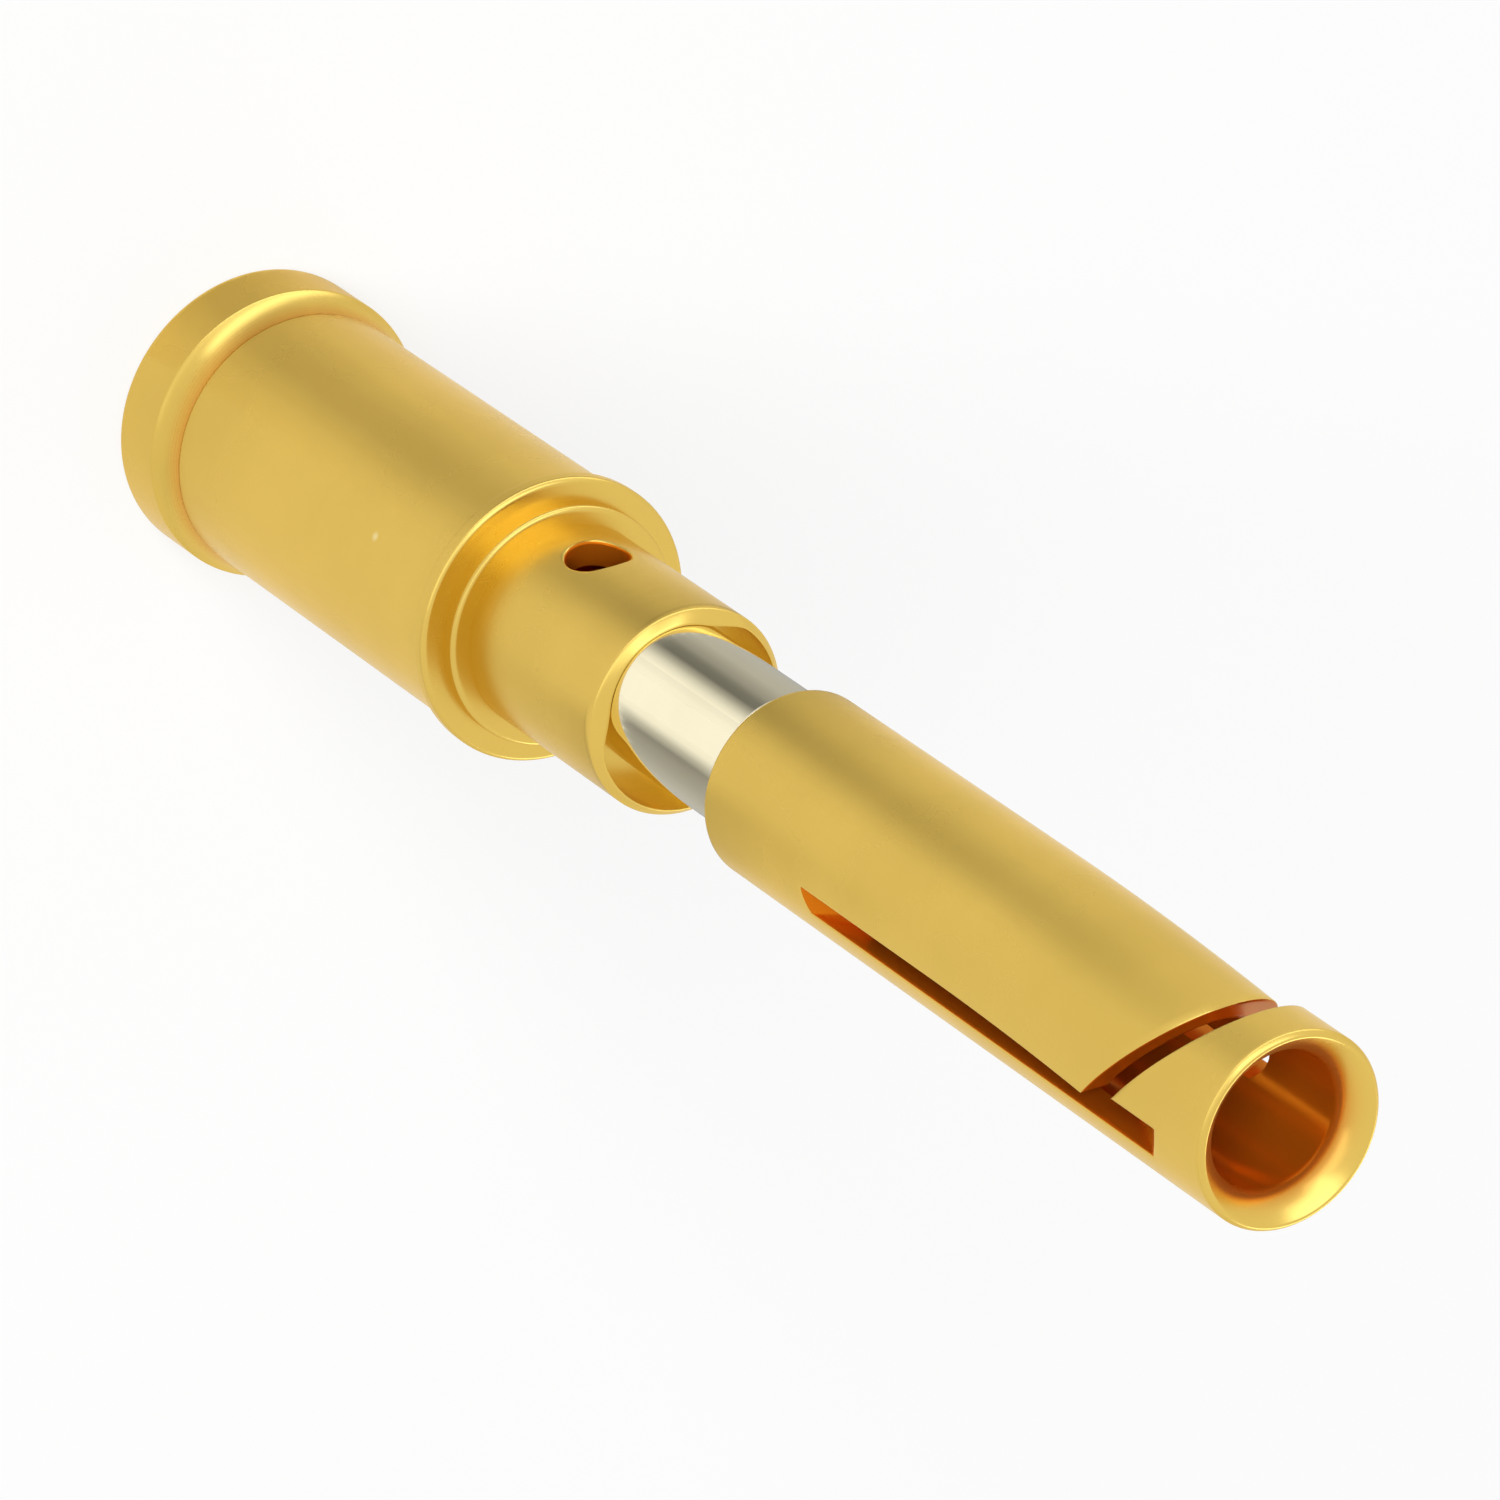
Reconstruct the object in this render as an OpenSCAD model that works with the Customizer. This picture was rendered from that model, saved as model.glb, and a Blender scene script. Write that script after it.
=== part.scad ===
// Crimp socket contact: a turned contact for a 2 mm pin, with a crimp barrel at the bottom (z = 0),
// a flange and neck that seat it in an insulator, and a slotted socket with a closed mouth on top.
// The axis is Z. The contact tongue and the inspection hole face +X.

/* [Crimp end] */
// Diameter of the collar at the wire end
collar_d = 4.7; // [4.5:0.05:5.2]
// Length of the collar's straight rim
collar_l = 1.0; // [0.7:0.1:1.6]
// Length of the bevelled shoulder from the collar down to the barrel
shoulder_l = 0.45; // [0.2:0.05:0.8]
// Edge break on the wire end
end_chamfer = 0.04; // [0.02:0.01:0.15]
// Diameter of the crimp barrel
barrel_d = 4.25; // [4.0:0.05:4.35]
// Distance from the wire end to the front face of the flange
flange_face_z = 9.15; // [8.0:0.05:11.0]
// Diameter of the wire bore
wire_bore_d = 2.45; // [1.8:0.05:2.6]
// Distance that the wire bore runs past the middle of the inspection hole
wire_bore_past_hole = 0.71; // [0.6:0.01:1.0]
// Bell mouth of the wire bore, measured along the radius
wire_funnel = 0.35; // [0.1:0.05:0.6]

/* [Flange and neck] */
// Diameter of the flange
flange_d = 4.5; // [4.45:0.05:5.2]
// Thickness of the flange
flange_t = 0.3; // [0.2:0.05:0.6]
// Edge break on the flange
flange_chamfer = 0.05; // [0.02:0.01:0.08]
// Diameter of the low hub on the front of the flange
hub_d = 3.8; // [3.5:0.05:4.1]
// Height of the hub
hub_h = 0.27; // [0.1:0.01:0.5]
// Diameter of the neck
neck_d = 3.24; // [3.1:0.02:3.4]
// Length of the neck in front of the flange face
neck_l = 3.85; // [3.4:0.05:5.0]
// Edge break on the front of the neck
neck_chamfer = 0.03; // [0.02:0.01:0.08]
// Wall of the neck's rim, around the recess that the band enters
neck_rim = 0.13; // [0.1:0.01:0.22]
// Depth of the recess in the front of the neck
neck_recess = 0.8; // [0.4:0.05:1.0]
// Diameter of the inspection hole
inspect_d = 0.96; // [0.6:0.02:1.0]
// Distance from the flange face to the middle of the inspection hole
inspect_from_flange = 1.37; // [1.2:0.01:1.6]

/* [Band and groove] */
// Length of the gap between the neck and the sleeve
gap_l = 2.83; // [2.0:0.01:3.5]
// Outside diameter of the band
band_d = 2.34; // [2.2:0.02:2.6]
// Wall of the band
band_wall = 0.2; // [0.12:0.02:0.28]
// Open seam of the band, on the side away from the tongue
band_seam = 0.25; // [0.1:0.05:0.5]
// Clearance between the band and what it lies against
band_play = 0.02; // [0.01:0.01:0.05]
// Direction in which the band leans on the neck's rim, in degrees round from the tongue
band_turn = 30; // [0:5:90]

/* [Socket] */
// Outside diameter of the socket sleeve
sleeve_d = 2.94; // [2.8:0.02:3.1]
// Length of the socket sleeve, from the groove to the mouth
sleeve_l = 12.6; // [12.0:0.1:14.0]
// Edge break on the rear of the sleeve
sleeve_chamfer = 0.08; // [0.04:0.01:0.12]
// Diameter of the socket bore
socket_d = 2.05; // [1.9:0.01:2.15]
// Depth of the socket bore
socket_depth = 10.8; // [10.0:0.1:11.2]
// Depth of the lead-in cone at the mouth
lead_in_depth = 0.31; // [0.2:0.01:0.45]
// Edge break on the outside of the mouth, up to the lead-in cone
lip_w = 0.08; // [0.05:0.01:0.15]

/* [Slots and tongue] */
// Thickness of the saw that cuts the slots and the slit
saw_t = 0.37; // [0.3:0.01:0.45]
// Distance of the slots below the axis, along the tongue
slot_drop = 0.12; // [0.04:0.01:0.16]
// Length of each slot on the outside of the sleeve
slot_l = 8.95; // [8.0:0.05:9.3]
// Distance from the mouth to the front end of the slots
slot_from_mouth = 1.1; // [0.9:0.05:1.4]
// Depth of each slot below the outside of the sleeve
slot_depth = 1.15; // [1.0:0.05:1.25]
// Distance from the mouth to the slit, on the tongue's own side
slit_from_mouth = 0.8; // [0.7:0.05:1.1]
// Slope of the slit to a square cut, in degrees
slit_slope = 43; // [35:1:48]
// Length of the front part of the tongue that is bent inwards
bend_l = 5.4; // [4.0:0.1:6.0]
// Distance that the tip of the tongue is bent inwards
tongue_set = 0.25; // [0.05:0.01:0.3]

/* [Hidden] */
$fn = 96;

collar_r = collar_d / 2;
barrel_r = barrel_d / 2;
flange_r = flange_d / 2;
hub_r = hub_d / 2;
neck_r = neck_d / 2;
sleeve_r = sleeve_d / 2;
socket_r = socket_d / 2;
wire_bore_r = wire_bore_d / 2;
band_r = band_d / 2;
band_inner_r = band_r - band_wall;

flange_back_z = flange_face_z - flange_t;
hub_face_z = flange_face_z + hub_h;
neck_end_z = flange_face_z + neck_l;
recess_r = neck_r - neck_rim;
recess_z = neck_end_z - neck_recess;
sleeve_z = neck_end_z + gap_l;
mouth_z = sleeve_z + sleeve_l;
inspect_z = flange_face_z + inspect_from_flange;
wire_bore_end = inspect_z + wire_bore_past_hole;
drill_point_h = wire_bore_r * tan(31);

// The loose band leans on the neck's rim. The core that runs through it fills what room this leaves.
band_lean = recess_r - band_r - band_play;
core_r = band_inner_r - band_lean - band_play;

// The saw is a disc that sinks into the side of the sleeve.
// Its radius follows from the slot's length and depth.
saw_r = (slot_l * slot_l / 4 + slot_depth * slot_depth) / (2 * slot_depth);
saw_mid_z = mouth_z - slot_from_mouth - slot_l / 2;
saw_mid_y = sleeve_r - slot_depth + saw_r;

// Heights of the slit's two faces on the axis, and of a sloping face at a distance x from the axis
ring_face_z = mouth_z - slit_from_mouth - sleeve_r * tan(slit_slope);
tongue_face_z = ring_face_z - saw_t / cos(slit_slope);
function sloped(z, x) = z + x * tan(slit_slope);
mid_slit_z = (ring_face_z + tongue_face_z) / 2;

// The bent tongue follows one arc, in line with the sleeve where it starts.
bend_z = sloped(tongue_face_z, sleeve_r) - bend_l;
bend_r = (bend_l * bend_l + tongue_set * tongue_set) / (2 * tongue_set);
bend_sweep = 2 * asin((mouth_z - bend_z) / (2 * bend_r));

// Cuts run this far past the surfaces that they open
over = 1;
reach = sleeve_r + over;

// Half section of the turned piece, from the wire end to the mouth
module turned_section() {
    polygon([
        [0, 0],
        [collar_r - end_chamfer, 0],
        [collar_r, end_chamfer],
        [collar_r, collar_l],
        [barrel_r, collar_l + shoulder_l],
        [barrel_r, flange_back_z],
        [flange_r - flange_chamfer, flange_back_z],
        [flange_r, flange_back_z + flange_chamfer],
        [flange_r, flange_face_z - flange_chamfer],
        [flange_r - flange_chamfer, flange_face_z],
        [hub_r, flange_face_z],
        [hub_r, hub_face_z],
        [neck_r, hub_face_z],
        [neck_r, neck_end_z - neck_chamfer],
        [neck_r - neck_chamfer, neck_end_z],
        [recess_r, neck_end_z],
        [recess_r, recess_z],
        [core_r, recess_z],
        [core_r, sleeve_z],
        [sleeve_r - sleeve_chamfer, sleeve_z],
        [sleeve_r, sleeve_z + sleeve_chamfer],
        [sleeve_r, mouth_z - lip_w],
        [sleeve_r - lip_w, mouth_z],
        [0, mouth_z]
    ]);
}

// Bore for the stripped wire, with a bell mouth and the cone that the drill leaves
module wire_bore() {
    rotate_extrude()
        polygon([
            [0, -over],
            [wire_bore_r + wire_funnel, -over],
            [wire_bore_r + wire_funnel, 0],
            [wire_bore_r, wire_funnel],
            [wire_bore_r, wire_bore_end],
            [0, wire_bore_end + drill_point_h]
        ]);
}

// Bore for the pin, with the lead-in cone at the mouth
module socket_bore() {
    rotate_extrude()
        polygon([
            [0, mouth_z - socket_depth],
            [socket_r, mouth_z - socket_depth],
            [socket_r, mouth_z - lead_in_depth],
            [sleeve_r - lip_w, mouth_z],
            [sleeve_r - lip_w, mouth_z + over],
            [0, mouth_z + over]
        ]);
}

// Cross hole that shows whether the wire reaches the end of its bore
module inspection_hole() {
    translate([0, 0, inspect_z])
        rotate([0, 90, 0])
            cylinder(d = inspect_d, h = neck_r + over);
}

// A saw cut between two distances from the axis, sunk by the disc from one side
module saw_cut(side, x_low, x_high) {
    translate([x_low, side * saw_mid_y, saw_mid_z])
        rotate([0, 90, 0])
            cylinder(r = saw_r, h = x_high - x_low);
}

// The two slots, just below the axis. In the ring they are opened up to the axis.
module saw_slots() {
    for (side = [-1, 1]) {
        saw_cut(side, -slot_drop - saw_t, -slot_drop);
        intersection() {
            saw_cut(side, -slot_drop - saw_t / 2, 0);
            translate([-reach, -reach, mid_slit_z])
                cube([2 * reach, 2 * reach, mouth_z - mid_slit_z]);
        }
    }
}

// Everything on the tongue's side of the slots, from a level height up to a face with the slit's slope
module tongue_side(z_low, z_high) {
    rotate([90, 0, 0])
        linear_extrude(height = 2 * reach, center = true)
            polygon([
                [-slot_drop, z_low],
                [reach, z_low],
                [reach, sloped(z_high, reach)],
                [-slot_drop, sloped(z_high, -slot_drop)]
            ]);
}

// Cross-section of the tongue: the sleeve's wall above the slots
module half_wall() {
    difference() {
        circle(r = sleeve_r);
        circle(r = socket_r);
        translate([-slot_drop - 2 * reach, -reach])
            square([2 * reach, 2 * reach]);
    }
}

// The tongue: the half wall bent along its arc and cut off at the slit's lower face
module tongue() {
    intersection() {
        translate([-bend_r, 0, bend_z])
            rotate([90, 0, 0])
                rotate_extrude(angle = bend_sweep)
                    translate([bend_r, 0])
                        half_wall();
        rotate([90, 0, 0])
            linear_extrude(height = 2 * reach, center = true)
                polygon([
                    [-reach, bend_z - over],
                    [reach, bend_z - over],
                    [reach, sloped(tongue_face_z, reach)],
                    [-reach, sloped(tongue_face_z, -reach)]
                ]);
    }
}

module contact_body() {
    color("goldenrod") {
        difference() {
            rotate_extrude()
                turned_section();
            wire_bore();
            socket_bore();
            inspection_hole();
            saw_slots();
            tongue_side(bend_z, ring_face_z);
        }
        tongue();
    }
}

module steel_band() {
    color("silver")
        translate(band_lean * [cos(band_turn), sin(band_turn), 0])
            difference() {
                translate([0, 0, recess_z + band_play])
                    cylinder(r = band_r, h = sleeve_z - recess_z - 2 * band_play);
                cylinder(r = band_inner_r, h = mouth_z);
                translate([-band_d, -band_seam / 2, 0])
                    cube([band_d, band_seam, mouth_z]);
            }
}

contact_body();
steel_band();
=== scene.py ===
from math import acos, cos, degrees, pi, radians, sin, sqrt, tan

import bmesh
import bpy
import numpy as np
from mathutils import Matrix, Vector


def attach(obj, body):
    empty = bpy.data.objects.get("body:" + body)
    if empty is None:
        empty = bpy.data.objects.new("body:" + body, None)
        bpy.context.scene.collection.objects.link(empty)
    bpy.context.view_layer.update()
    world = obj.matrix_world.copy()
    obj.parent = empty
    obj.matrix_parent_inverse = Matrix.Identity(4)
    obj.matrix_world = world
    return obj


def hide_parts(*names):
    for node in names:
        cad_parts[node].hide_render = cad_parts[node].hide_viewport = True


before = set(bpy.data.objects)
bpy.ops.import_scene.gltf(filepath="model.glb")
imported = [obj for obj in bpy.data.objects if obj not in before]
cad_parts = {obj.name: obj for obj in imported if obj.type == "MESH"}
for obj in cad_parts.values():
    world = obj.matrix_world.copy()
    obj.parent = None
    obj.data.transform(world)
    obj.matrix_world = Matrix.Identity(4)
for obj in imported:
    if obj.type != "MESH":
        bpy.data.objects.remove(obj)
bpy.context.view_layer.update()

# Sizes of the contact in millimetres and degrees, with z up from the wire end
MM = 0.001
COLLAR_R, COLLAR_L, SHOULDER_L, END_CHAMFER = 2.35, 1.0, 0.45, 0.04
BARREL_R = 2.125
WIRE_R, WIRE_END, WIRE_FUNNEL, DRILL_SLOPE = 1.225, 11.23, 0.35, 31
WIRE_POINT = WIRE_END + WIRE_R * tan(radians(DRILL_SLOPE))
FLANGE_R, FLANGE_BACK, FLANGE_FACE, FLANGE_CHAMFER = 2.25, 8.85, 9.15, 0.05
HUB_R, HUB_FACE = 1.9, 9.42
NECK_R, NECK_END = 1.62, 13.0
RECESS_R, RECESS_Z = 1.49, 12.2
HOLE_R, HOLE_Z = 0.48, 10.52
BAND_R, BAND_INNER_R, BAND_SEAM, BAND_PLAY, BAND_TURN = 1.17, 0.97, 0.25, 0.02, 30
BAND_LEAN = RECESS_R - BAND_R - BAND_PLAY
BAND_MIDDLE = BAND_LEAN * cos(radians(BAND_TURN)), BAND_LEAN * sin(radians(BAND_TURN))
CORE_R = BAND_INNER_R - BAND_LEAN - BAND_PLAY
SLEEVE_R, SLEEVE_Z, SLEEVE_CHAMFER = 1.47, 15.83, 0.004
MOUTH_Z, LEAD_IN, LIP = 28.43, 0.31, 0.08
SOCKET_R, SOCKET_DEPTH = 1.025, 10.8
SOCKET_END = MOUTH_Z - SOCKET_DEPTH
SAW_T, SLOT_L, SLOT_DEPTH, SLOT_DROP, SLOT_FROM_MOUTH = 0.37, 8.95, 1.15, 0.12, 1.1
SLOT_LOW = -SLOT_DROP - SAW_T
SLOT_MID_Z = MOUTH_Z - SLOT_FROM_MOUTH - SLOT_L / 2
SLIT_FROM_MOUTH, SLIT_ANGLE = 0.8, 43
SLIT_SLOPE = tan(radians(SLIT_ANGLE))
BEND_L, TONGUE_SET = 5.4, 0.25

# The saw disc, the slit's two faces on the axis, and the arc of the bent tongue
SAW_R = (SLOT_L ** 2 / 4 + SLOT_DEPTH ** 2) / (2 * SLOT_DEPTH)
SAW_MID_Y = SLEEVE_R - SLOT_DEPTH + SAW_R
RING_FACE_Z = MOUTH_Z - SLIT_FROM_MOUTH - SLEEVE_R * SLIT_SLOPE
TONGUE_FACE_Z = RING_FACE_Z - SAW_T * sqrt(1 + SLIT_SLOPE ** 2)
BEND_Z = TONGUE_FACE_Z + SLEEVE_R * SLIT_SLOPE - BEND_L
BEND_R = (BEND_L ** 2 + TONGUE_SET ** 2) / (2 * TONGUE_SET)

# Widths of the eased edges of the cuts and the hole, and the least turn of an edge that is eased
CUT_EASE, CUT_TURN = 0.03, 12
HOLE_EASE, HOLE_TURN = 0.05, 30
# Radii of the turned edges
FUNNEL_ROUND, WIRE_END_ROUND, COLLAR_END_ROUND, RIDGE_ROUND = 0.1, 0.05, 0.03, 0.05
FLANGE_BACK_ROUND, FLANGE_ROUND, HUB_ROUND = 0.02, 0.05, 0.07
LIP_OUT_ROUND, LIP_IN_ROUND = 0.07, 0.05
# The shoulder's cove, with the place towards which it is drawn as shares of the shoulder's width and length,
# and the line that the tool leaves at its root
COVE_R, COVE_Z, COVE_STEPS = 0.38, 0.34, 10
ROOT_LINE = 0.02
ROOT_Z = COLLAR_L + SHOULDER_L
ROOT_END = ROOT_Z + 2 * ROOT_LINE
# The bevel outside the neck's rim, with the radii of its two edges and of the rim's inner edge
RIM_W, RIM_H, RIM_LOW_ROUND, RIM_TOP_ROUND, RIM_IN_ROUND = 0.11, 0.13, 0.06, 0.02, 0.008
# The top of the rim is rolled in towards the band: its height and lines of points inside, its distance from
# the band, the share of the roll that the outside follows, and the angles to each side of the band's lean
# within which the rim is rolled in fully, and at which this ends
ROLL_H, ROLL_LINES, ROLL_PLAY, ROLL_OUT = 0.25, (0.4, 0.7, 1), 0.003, 0.5
ROLL_FULL, ROLL_ENDS = 42, 75
# The throat: the share of the lead-in cone and the length of the bore that it rounds off
THROAT_CONE, THROAT_L, THROAT_STEPS = 0.75, 0.2, 18
# The band: its gap to the sleeve, the radius of its edges, and the steps around it
BAND_GAP, BAND_ROUND, BAND_STEPS = 0.003, 0.003, 180

# How far faces carry painted shade, where the gold is made deeper and redder for the shade and the
# gold-to-gold reflections inside the part: those of the bores and cuts, and those at the root of the
# shoulder, from a share of the shoulder's length on
BORE_SHADE = 1.0
ROOT_SHADE, ROOT_FROM = 0.45, 0.4
# Distance from the socket's bore at which the painted shade on its throat ends, and the power of that fall
THROAT_FADE, THROAT_FALL = 0.36, 3

# Points closer than this are one, and edges that turn by more than this are sharp
WELD, SHARP = 0.0004, 60
# Distance from a corner to the line that holds the shading beside it, and the least length with such lines
HOLD = 0.03
LONG = 4 * HOLD
# Share of the room beside a corner that its rounding may take
ROUND_ROOM = 0.98
# Difference below which two sizes are the same, and the steps that find the tongue's end that closely
TINY, FIND_STEPS = 1e-6, 6


class Skin:
    """A closed skin of point grids that share their borders, in millimetres."""

    def __init__(self):
        self.points = []
        self.faces = []
        self.painted_shades = []
        self.count = 0

    def grid(self, rows, keep=None, painted_shade=0.0):
        """Adds a grid, with painted shade on its rows from 0 to 1, by how far they lie in a bore or cut."""
        rows = np.asarray(rows, float)
        down, wide = rows.shape[:2]
        painted_shade = np.broadcast_to(painted_shade, down - 1)
        for i in range(down - 1):
            for j in range(wide - 1):
                if keep is None or keep[i, j]:
                    a = self.count + i * wide + j
                    self.faces.append((a, a + 1, a + wide + 1, a + wide))
                    self.painted_shades.append(painted_shade[i])
        self.points.append(rows.reshape(-1, 3))
        self.count += down * wide

    def ease(self, bm, width, least_turn, where):
        """Rounds the convex edges where() picks: the grid lines beside them stay, the edge itself sinks."""
        moves = {}
        for edge in bm.edges:
            if len(edge.link_faces) != 2 or not edge.is_convex:
                continue
            if not all(where(*v.co) for v in edge.verts):
                continue
            one, two = (f.normal for f in edge.link_faces)
            turn = one.angle(two, 0.0)
            if turn < least_turn:
                continue
            depth = width / tan(turn / 2) * (1 / cos(turn / 2) - 1)
            for v in edge.verts:
                moves.setdefault(v, []).append((one + two).normalized() * -depth)
        for v, steps in moves.items():
            v.co += sum(steps, Vector()) / len(steps)

    def object(self, name, eases=()):
        """Makes the piece. eases lists the width, least turn and place of edges to round."""
        bm = bmesh.new()
        verts = [bm.verts.new(p) for p in np.concatenate(self.points)]
        layer = bm.faces.layers.float.new("painted_shade")
        for face, painted_shade in zip(self.faces, self.painted_shades):
            bm.faces.new([verts[i] for i in face])[layer] = painted_shade
        bmesh.ops.remove_doubles(bm, verts=bm.verts, dist=WELD)
        bmesh.ops.dissolve_degenerate(bm, edges=bm.edges, dist=WELD)
        bmesh.ops.recalc_face_normals(bm, faces=bm.faces)
        bm.normal_update()
        for width, least_turn, where in eases:
            self.ease(bm, width, radians(least_turn), where)
        bmesh.ops.scale(bm, vec=(MM, MM, MM), verts=bm.verts)
        bm.normal_update()
        open_edges = sum(len(e.link_faces) != 2 for e in bm.edges)
        print(name, "faces", len(bm.faces), "open edges", open_edges)
        mesh = bpy.data.meshes.new(name)
        bm.to_mesh(mesh)
        bm.free()
        mesh.polygons.foreach_set("use_smooth", [True] * len(mesh.polygons))
        mesh.set_sharp_from_angle(angle=radians(SHARP))
        piece = bpy.data.objects.new(name, mesh)
        bpy.context.scene.collection.objects.link(piece)
        even = piece.modifiers.new("even_shading", "WEIGHTED_NORMAL")
        even.keep_sharp = True
        return piece


def between(length, steps, ease_low=0.0, ease_high=0.0):
    """Shares from 0 to 1 in even steps along a length, with one more line beside an end that is eased."""
    shares = list(np.linspace(0, 1, steps + 1))
    if ease_low:
        shares.insert(1, min(ease_low / length, shares[1] / 2))
    if ease_high:
        shares.insert(-1, max(1 - ease_high / length, (shares[-2] + 1) / 2))
    return np.array(shares)


def eased_profile(corners, arc_step=15):
    """Points (r, z) along a turned profile, with each corner (r, z, radius) rounded off."""
    points = []
    for i, (r, z, radius) in enumerate(corners):
        corner = np.array([r, z])
        if radius == 0 or i in (0, len(corners) - 1):
            points.append(corner)
            continue
        back = np.array(corners[i - 1][:2]) - corner
        ahead = np.array(corners[i + 1][:2]) - corner
        room = min(np.linalg.norm(back), np.linalg.norm(ahead)) / 2
        back, ahead = back / np.linalg.norm(back), ahead / np.linalg.norm(ahead)
        opening = acos(np.clip(back @ ahead, -1, 1))
        radius = min(radius, ROUND_ROOM * room * tan(opening / 2))
        run = radius / tan(opening / 2)
        middle = corner + (back + ahead) / np.linalg.norm(back + ahead) * radius / sin(opening / 2)
        start, end = corner + back * run - middle, corner + ahead * run - middle
        steps = max(2, round(degrees(pi - opening) / arc_step))
        for share in np.linspace(0, 1, steps + 1):
            arm = start * sin((1 - share) * (pi - opening)) + end * sin(share * (pi - opening))
            points.append(middle + arm / np.linalg.norm(arm) * radius)
    return np.array(points)


def held(profile):
    """Adds a line close to each end of a long straight stretch, so that its shading stays straight."""
    points = [profile[0]]
    for one, two in zip(profile[:-1], profile[1:]):
        length = np.linalg.norm(two - one)
        if length > LONG:
            points += [one + (two - one) * HOLD / length, two - (two - one) * HOLD / length]
        points.append(two)
    return np.array(points)


def polar(r, angle, z):
    """Points at a radius, an angle in degrees and a height."""
    angle = np.radians(angle)
    return np.stack(np.broadcast_arrays(r * np.cos(angle), r * np.sin(angle), z), axis=-1)


# Lanes around the sleeve: the tongue down to its edges, a slot, the back, the other slot
HALF_STEPS, DROP_STEPS, SLOT_STEPS, BACK_STEPS = 64, 4, 5, 50
HALF_ANGLES = np.linspace(-90, 90, HALF_STEPS + 1)
SIDE_EASE = degrees(CUT_EASE / SLEEVE_R)


def lanes(r):
    """Angles of all lanes around a wall of radius r, from the tongue's edge on the -Y side."""
    half = np.concatenate([[-90, -90 + SIDE_EASE], HALF_ANGLES[1:-1], [90 - SIDE_EASE, 90]])
    drop_x = -SLOT_DROP * between(SLOT_DROP, DROP_STEPS - 1, ease_high=CUT_EASE)
    drop = np.degrees(np.arccos(drop_x / r))
    slot = np.degrees(np.arccos(np.linspace(-SLOT_DROP, SLOT_LOW, SLOT_STEPS + 1) / r))
    back_shares = between(pi * SLEEVE_R, BACK_STEPS, CUT_EASE, CUT_EASE)
    back = slot[-1] + back_shares * (360 - 2 * slot[-1])
    return np.concatenate([-drop[::-1][:-1], half, drop[1:], slot[1:], back[1:], 360 - slot[::-1][1:]])


AROUND, AROUND_BORE = lanes(SLEEVE_R), lanes(SOCKET_R)
HALF_AT = DROP_STEPS
HALF_END = HALF_AT + HALF_STEPS + 2
SLOT_AT = HALF_END + DROP_STEPS
BACK_AT = SLOT_AT + SLOT_STEPS
BACK_END = BACK_AT + BACK_STEPS + 2
LAST = BACK_END + SLOT_STEPS
TONGUE_LANES = np.arange(0, SLOT_AT + 1)
RING_LANES = np.arange(HALF_AT, HALF_END + 1)
BACK_LANES = np.arange(BACK_AT, BACK_END + 1)
REAR_SLOT_LANES = (np.arange(SLOT_AT, BACK_AT + 1), np.arange(BACK_END, LAST + 1))
FRONT_SLOT_LANES = (np.arange(HALF_END, BACK_AT + 1), np.r_[BACK_END:LAST, 0:HALF_AT + 1])


def saw_reach(y):
    """Half the length of a slot at a distance y from the middle."""
    return np.sqrt(SAW_R ** 2 - (SAW_MID_Y - np.abs(y)) ** 2)


def slot_rear(y):
    return SLOT_MID_Z - saw_reach(y)


def slot_front(y):
    return SLOT_MID_Z + saw_reach(y)


def tongue_end(x):
    """Unbent height of the tongue's fibre at x where the bent tongue meets the slit's lower face."""
    turn = (TONGUE_FACE_Z + x * SLIT_SLOPE - BEND_Z) / BEND_R
    arm = BEND_R + x
    for _ in range(FIND_STEPS):
        miss = BEND_Z + arm * np.sin(turn) - TONGUE_FACE_Z - (arm * np.cos(turn) - BEND_R) * SLIT_SLOPE
        turn = turn - miss / (arm * np.cos(turn) + arm * np.sin(turn) * SLIT_SLOPE)
    return BEND_Z + BEND_R * turn


def bent(points):
    """Carries the unbent tongue's points along its arc."""
    points = np.array(points)
    x, z = points[..., 0], points[..., 2]
    turn = np.maximum(z - BEND_Z, 0) / BEND_R
    arm = BEND_R + x
    on_arc = turn > 0
    points[..., 2] = np.where(on_arc, BEND_Z + arm * np.sin(turn), z)
    points[..., 0] = np.where(on_arc, arm * np.cos(turn) - BEND_R, x)
    return points


# Heights where the sleeve's outside and bore meet the turned grids
OUT_LOW, OUT_HIGH = 18.0, 28.0
BORE_LOW, BORE_HIGH = 18.8, 27.8
# Shares along the sleeve, which the grids on both sides of a border have in common
TO_SLOT = between(length=0.5, steps=4, ease_high=CUT_EASE)
ALONG_TONGUE = between(length=8, steps=44, ease_low=CUT_EASE, ease_high=CUT_EASE)
ALONG_BACK = between(length=8.9, steps=44, ease_low=CUT_EASE, ease_high=CUT_EASE)
ALONG_RING = between(length=1.07, steps=10, ease_low=CUT_EASE, ease_high=CUT_EASE)
TO_MOUTH = between(length=0.67, steps=5, ease_low=CUT_EASE)
THROUGH_WALL = between(length=SLEEVE_R - SOCKET_R, steps=6, ease_low=CUT_EASE)


def strip(r, angle, low, high, shares):
    """Rows of points up a wall of radius r, from one height to another."""
    z = low + shares[:, None] * (high - low + 0 * angle)
    return polar(r, angle[None, :], z)


def across(r, x):
    """Half the width of a circle of radius r at a distance x from its middle."""
    return np.sqrt(r ** 2 - np.square(x))


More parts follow.
